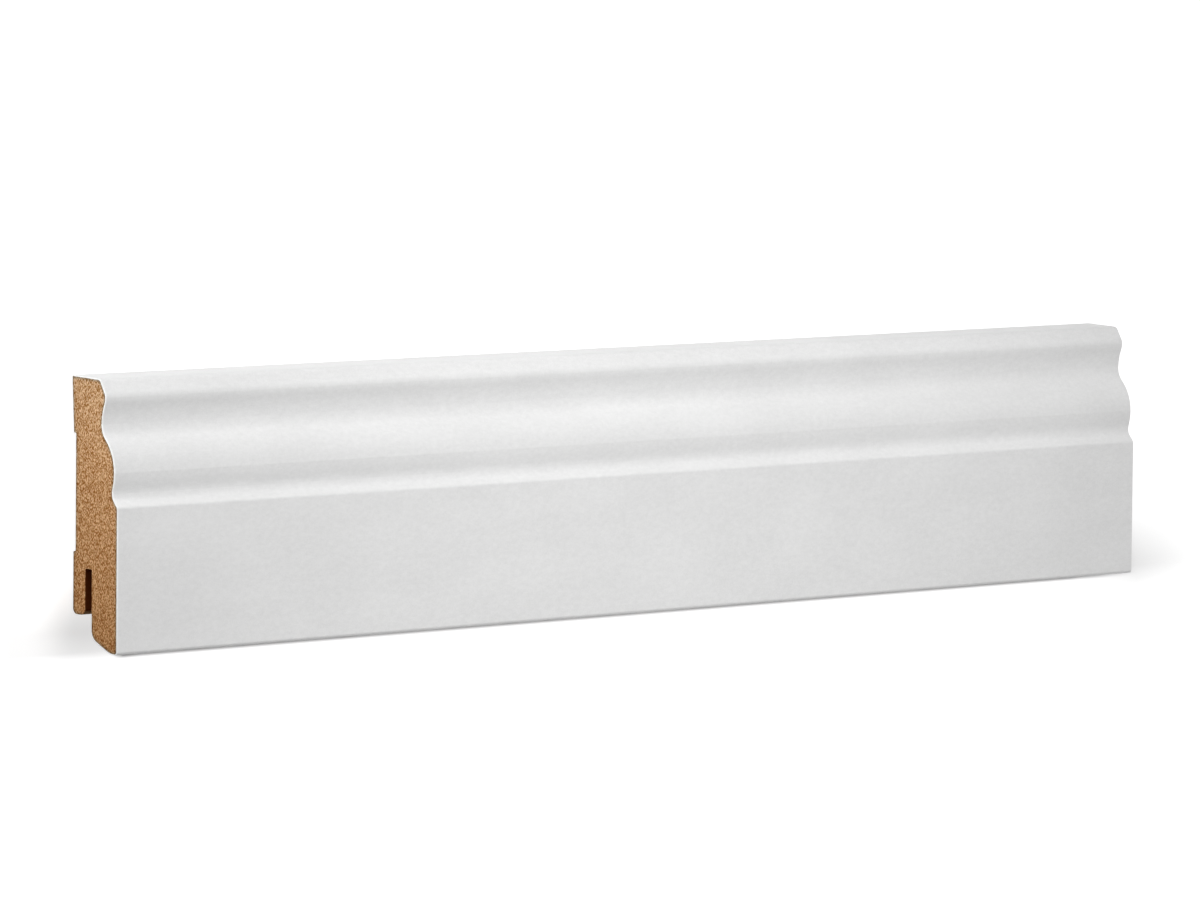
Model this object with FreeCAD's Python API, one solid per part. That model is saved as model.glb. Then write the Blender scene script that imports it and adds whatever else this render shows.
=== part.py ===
import FreeCAD, Part
import os
from math import atan2, cos, pi, radians, sin, tan

# Skirting board length: an MDF profile with a white foil glued over its front, top and toe.
# The board lies on its back. X runs along it, +Y points to its top edge and +Z out of its front face.
# Sizes are in millimetres and angles in degrees.
# The origin is under the middle of the board, level with the rearmost edge of its back.

# Overall sizes. The thickness reaches from the lower band of the back to the flat face.
length = 425.0
height = 80.0
thickness = 20.0
foil_thickness = 0.3

# Front moulding, from the flat face up to the top edge.
# A run is measured up the board, a sink inwards and a rise outwards, each from the form below.
ledge_angle = 40.0
ledge_corner_radius = 1.2
quirk_sink = 2.3
quirk_lower_radius = 3.1
quirk_upper_radius = 5.4
ovolo_run = 6.05
ovolo_rise = 0.9
cove_run = 13.75
cove_sink = 5.75
cove_radius = 5.9
bead_run = 7.8
bead_rise = 1.55
bead_under_radius = 5.6
bead_nose_radius = 2.85
shoulder_angle = 30.0
top_run = 5.8
top_corner_radius = 2.2
top_fall_angle = 2.2

# Toe: the board's bottom edge, with the undercut bevel behind it
toe_corner_radius = 1.0
toe_flat = 0.2
toe_heel_radius = 7.8
bevel_angle = 24.5
bevel_corner_radius = 3.7
foil_return = 4.0

# Back relief. Heights are measured up from the toe. The upper band leans out towards the top edge.
upper_band = 16.7
upper_band_flare = 0.85
recess_depth = 0.95
lower_band_top = 28.9
recess_corner_radius = 0.3
corner_limit = 0.4  # the share of the recess depth that one of its corners may take

# Cable rebate and clip groove
rebate_height = 10.6
rear_leg = 5.5
rear_leg_outer_radius = 1.8
rear_leg_inner_radius = 2.0
groove_width = 3.0
groove_depth = 13.6
groove_corner_radius = 0.5


# Section geometry. A section point is (up, out): up from the toe and out from the lower band.
# A stroke is (distance, turn): a straight run has a turn of 0, an arc has its radius as distance.
# A turn to the left is positive. The board's material lies on the right of every path.

def space(point):
    return FreeCAD.Vector(-length / 2, point[0] - height / 2, point[1] + upper_band_flare)


def straight(start, end):
    return Part.LineSegment(space(start), space(end)).toShape()


def curve(start, middle, end):
    return Part.Arc(space(start), space(middle), space(end)).toShape()


def ahead(point, heading, distance):
    return (point[0] + distance * cos(heading), point[1] + distance * sin(heading))


def draw_path(start, heading, strokes, inset):
    """Edges along the strokes, on a line that runs parallel at the inset, inside the material."""
    point = ahead(start, heading - pi / 2, inset)
    edges = []
    for distance, turn in strokes:
        if turn == 0:
            end = ahead(point, heading, distance)
            edges.append(straight(point, end))
        else:
            side = pi / 2 if turn > 0 else -pi / 2
            radius = distance + inset if turn > 0 else distance - inset
            centre = ahead(point, heading + side, radius)
            middle = ahead(centre, heading - side + turn / 2, radius)
            end = ahead(centre, heading - side + turn, radius)
            edges.append(curve(point, middle, end))
            heading = heading + turn
        point = end
    return edges, point


def draw_rounded(points):
    """Edges through (point, radius) corners; the first and the last corner stay sharp."""
    edges = []
    here = points[0][0]
    for before, (corner, radius), after in zip(points, points[1:], points[2:]):
        heading_in = atan2(corner[1] - before[0][1], corner[0] - before[0][0])
        heading_out = atan2(after[0][1] - corner[1], after[0][0] - corner[0])
        turn = (heading_out - heading_in + pi) % (2 * pi) - pi
        reach = radius * tan(abs(turn) / 2)
        arc_start = ahead(corner, heading_in, -reach)
        arc_end = ahead(corner, heading_out, reach)
        side = pi / 2 if turn > 0 else -pi / 2
        centre = ahead(arc_start, heading_in + side, radius)
        middle = ahead(centre, heading_in - side + turn / 2, radius)
        edges.append(straight(here, arc_start))
        edges.append(curve(arc_start, middle, arc_end))
        here = arc_end
    edges.append(straight(here, points[-1][0]))
    return edges


def ogee(run, step):
    """Turn and radius sum of the two tangent arcs that take a surface in or out by a step over a run."""
    return 2 * atan2(step, run), (run * run + step * step) / (2 * step)


# Front path: from the foil's end on the bevel, round the toe and up the moulding to the top's back edge

def toe_heel():
    """Where the bevel's straight meets the rounding behind the toe."""
    bevel = radians(bevel_angle)
    return (toe_heel_radius * (1 - cos(bevel)),
            thickness - toe_corner_radius - toe_flat - toe_heel_radius * sin(bevel))


def toe_strokes():
    return [(foil_return, 0),
            (toe_heel_radius, -radians(bevel_angle)),
            (toe_flat, 0),
            (toe_corner_radius, -pi / 2)]


def ledge_strokes():
    """From the flat face down the sloping ledge into the quirk, and the height that this takes."""
    slope = radians(ledge_angle)
    radii = ledge_corner_radius + quirk_lower_radius
    slant = (quirk_sink - radii * (1 - cos(slope))) / sin(slope)
    rise = radii * sin(slope) + slant * cos(slope)
    return [(ledge_corner_radius, -slope), (slant, 0), (quirk_lower_radius, slope)], rise


def wave_strokes():
    """From the quirk out to the ovolo, in to the cove and out to the bead."""
    ovolo_turn, ovolo_radii = ogee(ovolo_run, ovolo_rise)
    cove_turn, cove_radii = ogee(cove_run, cove_sink)
    bead_turn, bead_radii = ogee(bead_run, bead_rise)
    return [(quirk_upper_radius, ovolo_turn),
            (ovolo_radii - quirk_upper_radius, -ovolo_turn),
            (cove_radii - cove_radius, -cove_turn),
            (cove_radius, cove_turn),
            (bead_radii - bead_under_radius, bead_turn),
            (bead_under_radius, -bead_turn)]


def top_strokes(inset):
    """Over the bead's nose, up the sloping shoulder and onto the top, which rises gently towards the back."""
    fall = radians(top_fall_angle)
    shoulder = radians(shoulder_angle)
    nose_out = thickness - quirk_sink + ovolo_rise - cove_sink + bead_rise + upper_band_flare
    nose_rise = bead_nose_radius * sin(shoulder)
    nose_sink = bead_nose_radius * (1 - cos(shoulder))
    corner_rise = top_corner_radius * (cos(fall) - sin(shoulder))
    corner_sink = top_corner_radius * (cos(shoulder) - sin(fall))
    straights_width = nose_out - nose_sink - corner_sink
    straights_rise = top_run - nose_rise - corner_rise
    slant = (straights_rise - straights_width * tan(fall)) / (cos(shoulder) - sin(shoulder) * tan(fall))
    top_width = straights_width - slant * sin(shoulder)
    return [(bead_nose_radius, -shoulder),
            (slant, 0),
            (top_corner_radius, shoulder + fall - pi / 2),
            ((top_width - inset * sin(fall)) / cos(fall), 0)]


def front_path(inset):
    bevel = radians(bevel_angle)
    start = ahead(toe_heel(), pi / 2 + bevel, -foil_return)
    ledge, ledge_rise = ledge_strokes()
    moulding = ledge_rise + ovolo_run + cove_run + bead_run + top_run
    flat_run = height - moulding - toe_corner_radius
    strokes = toe_strokes() + [(flat_run, 0)] + ledge + wave_strokes() + top_strokes(inset)
    edges, end = draw_path(start, pi / 2 + bevel, strokes, inset)
    return ahead(start, bevel, inset), edges, end


# Back path of the core: relief, rear leg, clip groove, cable rebate and the start of the bevel

def bevel_corner(inset):
    """Where the back of the front leg would meet the bevel, before this corner is rounded."""
    bevel = radians(bevel_angle)
    leg_back = rear_leg + groove_width
    on_bevel = ahead(toe_heel(), bevel, inset)
    return (on_bevel[0] + (on_bevel[1] - leg_back) * tan(bevel), leg_back)


def back_edges(top_end, bevel_end):
    recess_corner = min(recess_corner_radius, corner_limit * recess_depth)
    recess_top = height - upper_band
    groove_top = rebate_height + groove_depth
    leg_back = rear_leg + groove_width
    return draw_rounded([
        (top_end, 0),
        ((recess_top, 0), recess_corner),
        ((recess_top, recess_depth), recess_corner),
        ((lower_band_top, recess_depth), recess_corner),
        ((lower_band_top, 0), recess_corner),
        ((rebate_height, 0), rear_leg_outer_radius),
        ((rebate_height, rear_leg), rear_leg_inner_radius),
        ((groove_top, rear_leg), groove_corner_radius),
        ((groove_top, leg_back), groove_corner_radius),
        (bevel_corner(foil_thickness), bevel_corner_radius),
        (bevel_end, 0)])


# Pieces

def extruded(edges):
    section = Part.Face(Part.Wire(Part.__sortEdges__(edges)))
    return section.extrude(FreeCAD.Vector(length, 0, 0))


def mdf_core():
    bevel_end, front_edges, top_end = front_path(foil_thickness)
    return extruded(front_edges + back_edges(top_end, bevel_end))


def white_foil():
    outer_start, outer_edges, outer_end = front_path(0)
    inner_start, inner_edges, inner_end = front_path(foil_thickness)
    ends = [straight(outer_start, inner_start), straight(outer_end, inner_end)]
    return extruded(outer_edges + inner_edges + ends)


os.makedirs("parts", exist_ok=True)
for name, piece in (("mdf_core", mdf_core()), ("white_foil", white_foil())):
    piece.exportStep("parts/" + name + ".step")
    print(name, "valid", piece.isValid(), "volume", round(piece.Volume), piece.BoundBox)
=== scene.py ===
import bpy
from mathutils import Matrix, Vector

# The board lies on its back, as the frame stores it.
# X runs along it, +Y points to its top edge and +Z out of its front. Places and sizes are in metres.

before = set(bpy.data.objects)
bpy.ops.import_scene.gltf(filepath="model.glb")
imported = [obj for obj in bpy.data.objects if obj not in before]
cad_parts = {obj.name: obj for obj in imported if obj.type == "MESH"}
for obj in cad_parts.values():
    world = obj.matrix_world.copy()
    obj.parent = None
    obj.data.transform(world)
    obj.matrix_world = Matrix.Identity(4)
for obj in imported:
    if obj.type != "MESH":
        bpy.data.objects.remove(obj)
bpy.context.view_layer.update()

millimetre = 0.001
white = (1.0, 1.0, 1.0, 1.0)

# The camera keeps the photograph's place relative to the board. Its sensor is in millimetres.
camera_place = Vector((-1.68266, 0.20377, 1.80602))
camera_forward = Vector((0.67873, -0.07892, -0.73013))
camera_up = Vector((0.04595, 0.99683, -0.06503))
focal_pixels = 8049.3
image_width = 1200.0
sensor_width = 36.0
far_clip = 100.0

# Soft lamps aimed at the middle of the board: name, place, size, watts
lamps = (
    ("top_strip", (-0.30, 0.70, 0.12), (0.40, 0.20), 1.56),
    ("top_softbox", (-0.07, 0.42, 0.42), (0.30, 0.30), 1.16),
    ("overhead", (0.03, -0.02, 0.57), (0.40, 0.40), 1.99),
    ("end_light", (-0.325, 0.037, 0.011), (0.040, 0.017), 0.10),
)
world_light = 0.054

# Floor: its lift keeps it white to the camera, less its painted shades
floor_half = 6.0
floor_colour = (0.50, 0.50, 0.50, 1.0)
floor_lift = 0.93

# Painted shades on the floor, each a depth and the fades that bound it.
# A fade is an axis, the place where the shade is clear and the place where it is full, in millimetres.
towards_top = ("Y", -20.0, -35.0)
beside_toe = (0.31, (("X", -280.0, -235.0), ("X", -186.0, -196.0), towards_top, ("Y", -44.5, -41.0)))
past_far_end = (0.65, (("X", 210.0, 237.0), ("X", 289.0, 213.0), ("Y", -9.0, -38.0), ("Y", -54.0, -40.5)))
under_toe = (0.83, (("X", -196.5, -193.0), ("X", 237.0, 206.0), towards_top, ("Y", -43.8, -42.8)))

# A grain is a blotch size, a stretch along each axis and the levels of detail.
# A share is what the second of two blended grains gets.
# A colour stop is a grain's value and the colour there.

# White foil: satin, with a fine orange-peel surface and a faint mottle
foil_peel = (1.2 * millimetre, (1.6, 1.0, 1.0), 3.0)
foil_print = (0.35 * millimetre, (1.0, 1.0, 1.0), 2.0)
foil_cloud = (14.0 * millimetre, (2.5, 1.0, 1.0), 2.0)
foil_print_share = 0.5
foil_cloud_share = 0.3
foil_stops = ((0.36, (0.785, 0.785, 0.783)), (0.64, (0.875, 0.875, 0.873)))
foil_peel_low = 0.3
foil_peel_high = 0.7
foil_smooth = 0.37
foil_rough = 0.47
foil_gloss = 0.3
foil_bump_strength = 0.25
foil_bump_depth = 0.02 * millimetre

# The foil's cut edge shows as a lighter strip at the near end
foil_cut = (0.950, 0.950, 0.940, 1.0)
cut_edge_ends = -212.4 * millimetre
cut_edge_starts = -211.8 * millimetre

# MDF on a sawn end: fine specks in slightly uneven clumps
sawn_speck = (0.36 * millimetre, (1.0, 1.75, 0.85), 4.0)
sawn_clump = (1.5 * millimetre, (1.0, 1.0, 1.0), 2.0)
sawn_cloud = (11.0 * millimetre, (1.0, 1.0, 1.0), 2.0)
sawn_clump_share = 0.12
sawn_cloud_share = 0.05
sawn_stops = (
    (0.41, (0.220, 0.082, 0.013)),
    (0.50, (0.425, 0.236, 0.100)),
    (0.59, (0.710, 0.500, 0.310)),
)

# MDF on a milled face: finer and more even, with streaks along the board
milled_fibre = (0.5 * millimetre, (2.0, 1.0, 1.0), 3.0)
milled_streak = (0.5 * millimetre, (60.0, 1.0, 1.0), 2.0)
milled_cloud = (16.0 * millimetre, (2.0, 1.0, 1.0), 2.0)
milled_streak_share = 0.4
milled_cloud_share = 0.2
milled_stops = (
    (0.34, (0.34, 0.185, 0.080)),
    (0.50, (0.44, 0.260, 0.125)),
    (0.66, (0.55, 0.340, 0.185)),
)

# MDF surface: deep fibres are rougher than raised ones
mdf_deep_rough = 0.98
mdf_raised_rough = 0.80
mdf_gloss = 0.25
mdf_bump_strength = 0.5
mdf_bump_depth = 0.06 * millimetre

# A sawn end gets darker towards the toe, which is painted shade, and has a darker, greyer rim
half_height = 40.0 * millimetre
toe_painted_shade = (0.97, 0.79, 0.58, 1.0)
rim_width = 1.2 * millimetre
rim_tone = (0.46, 0.62, 0.82, 1.0)
rim_samples = 8
rim_dark = 0.5
rim_clear = 1.0

# The clip groove's walls, darkened with painted shade: up the board, from the mouth inwards, and across it
groove_shade_colour = (0.240, 0.058, 0.004, 1.0)
groove_mouth = -30.4 * millimetre
groove_dark = -28.4 * millimetre
groove_end = -15.6 * millimetre
groove_back = 6.2 * millimetre
groove_front = 9.5 * millimetre


# Camera

def make_camera():
    forward = camera_forward.normalized()
    right = forward.cross(camera_up).normalized()
    up = right.cross(forward)
    turn = Matrix((right, up, -forward)).transposed().to_4x4()
    data = bpy.data.cameras.new("camera")
    data.sensor_width = sensor_width
    data.lens = focal_pixels / image_width * sensor_width
    data.clip_end = far_clip
    camera = bpy.data.objects.new("camera", data)
    camera.matrix_world = Matrix.Translation(camera_place) @ turn
    bpy.context.scene.collection.objects.link(camera)
    bpy.context.scene.camera = camera


# Node helpers

def add(tree, kind, values=None, **settings):
    """A new node with these properties. A value is for a socket: a constant or another node's output."""
    node = tree.nodes.new(kind)
    for name, value in settings.items():
        setattr(node, name, value)
    for socket, value in (values or {}).items():
        if isinstance(value, bpy.types.NodeSocket):
            tree.links.new(value, node.inputs[socket])
        else:
            node.inputs[socket].default_value = value
    return node


def calculate(tree, operation, first, second=0.0):
    return add(tree, "ShaderNodeMath", {0: first, 1: second}, operation=operation).outputs[0]


def blend(tree, factor, first, second):
    """From the first number to the second as the factor goes from 0 to 1."""
    return add(tree, "ShaderNodeMix", {0: factor, 2: first, 3: second}).outputs[0]


def blend_colours(tree, factor, first, second, blend_type="MIX"):
    values = {0: factor, 6: first, 7: second}
    return add(tree, "ShaderNodeMix", values, data_type="RGBA", blend_type=blend_type).outputs[2]


def multiply_colours(tree, first, second):
    return blend_colours(tree, 1.0, first, second, "MULTIPLY")


def colour_ramp(tree, factor, stops):
    ramp = add(tree, "ShaderNodeValToRGB", {0: factor})
    elements = ramp.color_ramp.elements
    while len(elements) < len(stops):
        elements.new(0.5)
    for element, (position, colour) in zip(elements, stops):
        element.position = position
        element.color = (*colour, 1.0)
    return ramp.outputs[0]


def grain(tree, place, recipe):
    """Noise from 0 to 1 with blotches of the recipe's size, drawn out by its stretch."""
    size, stretch, detail = recipe
    scale = tuple(1.0 / (size * factor) for factor in stretch)
    spread = add(tree, "ShaderNodeVectorMath", {0: place, 1: scale}, operation="MULTIPLY").outputs[0]
    return add(tree, "ShaderNodeTexNoise", {"Vector": spread, "Scale": 1.0, "Detail": detail}).outputs[0]


def map_range(tree, value, start, end, low=0.0, high=1.0):
    """From low to high as the value goes from start to end, and no further."""
    values = {"Value": value, "From Min": start, "From Max": end, "To Min": low, "To Max": high}
    return add(tree, "ShaderNodeMapRange", values).outputs[0]


def split(tree, vector):
    """The X, Y and Z parts of a vector, by name."""
    return add(tree, "ShaderNodeSeparateXYZ", {0: vector}).outputs


def is_cut_end(tree):
    """1 on the faces that look along the board, 0 on all others."""
    normal = add(tree, "ShaderNodeNewGeometry").outputs["True Normal"]
    along = split(tree, normal)["X"]
    return calculate(tree, "GREATER_THAN", calculate(tree, "ABSOLUTE", along), 0.5)


def shows_backdrop(tree):
    """1 for the rays that show the white backdrop, to the camera, in reflections or through a clear piece."""
    path = add(tree, "ShaderNodeLightPath").outputs
    mirrored = calculate(tree, "MAXIMUM", path["Is Glossy Ray"], path["Is Transmission Ray"])
    return calculate(tree, "MAXIMUM", path["Is Camera Ray"], mirrored)


# Materials

def new_material(name):
    material = bpy.data.materials.new(name)
    material.use_nodes = True
    tree = material.node_tree
    place = add(tree, "ShaderNodeTexCoord").outputs["Object"]
    return material, tree, tree.nodes["Principled BSDF"], place


def finish_surface(tree, shader, colour, rough, gloss, bump_height, bump_strength, bump_depth):
    values = {"Strength": bump_strength, "Distance": bump_depth, "Height": bump_height}
    bump = add(tree, "ShaderNodeBump", values)
    tree.links.new(colour, shader.inputs["Base Color"])
    tree.links.new(rough, shader.inputs["Roughness"])
    tree.links.new(bump.outputs[0], shader.inputs["Normal"])
    shader.inputs["Specular IOR Level"].default_value = gloss


def foil_material():
    material, tree, shader, place = new_material("white_foil")
    peel = grain(tree, place, foil_peel)
    fine = blend(tree, foil_print_share, peel, grain(tree, place, foil_print))
    mottle = blend(tree, foil_cloud_share, fine, grain(tree, place, foil_cloud))
    cut_edge = map_range(tree, split(tree, place)["X"], cut_edge_starts, cut_edge_ends)
    is_cut = calculate(tree, "MAXIMUM", cut_edge, is_cut_end(tree))
    colour = blend_colours(tree, is_cut, colour_ramp(tree, mottle, foil_stops), foil_cut)
    rough = map_range(tree, peel, foil_peel_low, foil_peel_high, foil_smooth, foil_rough)
    finish_surface(tree, shader, colour, rough, foil_gloss, fine, foil_bump_strength, foil_bump_depth)
    return material


def is_groove(tree, place, margin=0.0):
    """1 on the walls of the clip groove and within the margin round them, fading out at its mouth."""
    parts = split(tree, place)
    inside = map_range(tree, parts["Y"], groove_mouth, groove_dark)
    for operation, axis, limit in (("LESS_THAN", "Y", groove_end + margin),
                                   ("GREATER_THAN", "Z", groove_back - margin),
                                   ("LESS_THAN", "Z", groove_front + margin)):
        inside = calculate(tree, "MULTIPLY", inside, calculate(tree, operation, parts[axis], limit))
    return inside


def rim_shade(tree, place):
    """White inside a sawn end, and the rim's tone along its outline, but not round the groove."""
    inner = add(tree, "ShaderNodeAmbientOcclusion", {"Distance": rim_width},
                inside=True, only_local=True, samples=rim_samples).outputs["AO"]
    clear = map_range(tree, inner, rim_dark, rim_clear)
    plain = calculate(tree, "MAXIMUM", clear, is_groove(tree, place, rim_width))
    return blend_colours(tree, plain, rim_tone, white)


def sawn_colour(tree, place):
    """The colour of the cut fibres on the sawn ends, with painted shade towards the toe, and their height."""
    speck = grain(tree, place, sawn_speck)
    fibres = blend(tree, sawn_clump_share, speck, grain(tree, place, sawn_clump))
    fibres = blend(tree, sawn_cloud_share, fibres, grain(tree, place, sawn_cloud))
    # Painted shade: the sawn end darkens from the top edge down to the toe.
    up = map_range(tree, split(tree, place)["Y"], -half_height, half_height)
    shade_towards_toe = blend_colours(tree, up, toe_painted_shade, white)
    colour = multiply_colours(tree, colour_ramp(tree, fibres, sawn_stops), shade_towards_toe)
    return multiply_colours(tree, colour, rim_shade(tree, place)), speck


def milled_colour(tree, place):
    """The colour of the fibres on the milled faces, with painted shade in the groove, and their height."""
    fibre = grain(tree, place, milled_fibre)
    fibres = blend(tree, milled_streak_share, fibre, grain(tree, place, milled_streak))
    fibres = blend(tree, milled_cloud_share, fibres, grain(tree, place, milled_cloud))
    colour = colour_ramp(tree, fibres, milled_stops)
    # Painted shade: the groove's walls turn dark from its mouth inwards.
    return blend_colours(tree, is_groove(tree, place), colour, groove_shade_colour), fibres


def mdf_material():
    material, tree, shader, place = new_material("mdf")
    at_end = is_cut_end(tree)
    sawn, sawn_height = sawn_colour(tree, place)
    milled, milled_height = milled_colour(tree, place)
    colour = blend_colours(tree, at_end, milled, sawn)
    height = blend(tree, at_end, milled_height, sawn_height)
    rough = blend(tree, height, mdf_deep_rough, mdf_raised_rough)
    finish_surface(tree, shader, colour, rough, mdf_gloss, height, mdf_bump_strength, mdf_bump_depth)
    return material


def floor_material():
    """Pale floor that keeps the shadow and is lifted to white for the camera and in reflections, less painted
    shades by the toe.
    """
    material, tree, shader, place = new_material("floor")
    shader.inputs["Base Color"].default_value = floor_colour
    shader.inputs["Roughness"].default_value = 1.0
    parts = split(tree, place)
    lift = floor_lift
    # Painted shadows: each shade lowers the lift beside, under and past the board.
    for depth, fades in (beside_toe, past_far_end, under_toe):
        shade = depth
        for axis, clear, full in fades:
            fade = map_range(tree, parts[axis], clear * millimetre, full * millimetre)
            shade = calculate(tree, "MULTIPLY", fade, shade)
        lift = calculate(tree, "SUBTRACT", lift, shade)
    strength = calculate(tree, "MULTIPLY", shows_backdrop(tree), lift)
    glow = add(tree, "ShaderNodeEmission", {"Strength": strength})
    both = add(tree, "ShaderNodeAddShader", {0: shader.outputs[0], 1: glow.outputs[0]})
    tree.links.new(both.outputs[0], tree.nodes["Material Output"].inputs["Surface"])
    return material


# Stage

def make_floor():
    mesh = bpy.data.meshes.new("floor")
    corners = [(-floor_half, -floor_half, 0), (floor_half, -floor_half, 0),
               (floor_half, floor_half, 0), (-floor_half, floor_half, 0)]
    mesh.from_pydata(corners, [], [(0, 1, 2, 3)])
    floor = bpy.data.objects.new("floor", mesh)
    bpy.context.scene.collection.objects.link(floor)
    floor.data.materials.append(floor_material())


def make_lamp(name, place, size, watts):
    data = bpy.data.lights.new(name, "AREA")
    data.shape = "RECTANGLE"
    data.size, data.size_y = size
    data.energy = watts
    lamp = bpy.data.objects.new(name, data)
    turn = (-Vector(place)).to_track_quat("-Z", "Y").to_matrix().to_4x4()
    lamp.matrix_world = Matrix.Translation(place) @ turn
    lamp.visible_camera = False
    bpy.context.scene.collection.objects.link(lamp)


def make_world():
    """A faint even light, white where the backdrop shows."""
    world = bpy.data.worlds.new("world")
    bpy.context.scene.world = world
    world.use_nodes = True
    tree = world.node_tree
    background = tree.nodes["Background"]
    background.inputs["Color"].default_value = white
    tree.links.new(blend(tree, shows_backdrop(tree), world_light, 1.0), background.inputs["Strength"])


def dress(name, material):
    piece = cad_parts[name]
    piece.data.materials.clear()
    piece.data.materials.append(material)


make_camera()
make_floor()
make_world()
for lamp in lamps:
    make_lamp(*lamp)
dress("mdf_core", mdf_material())
dress("white_foil", foil_material())
bpy.context.scene.view_settings.view_transform = "Standard"
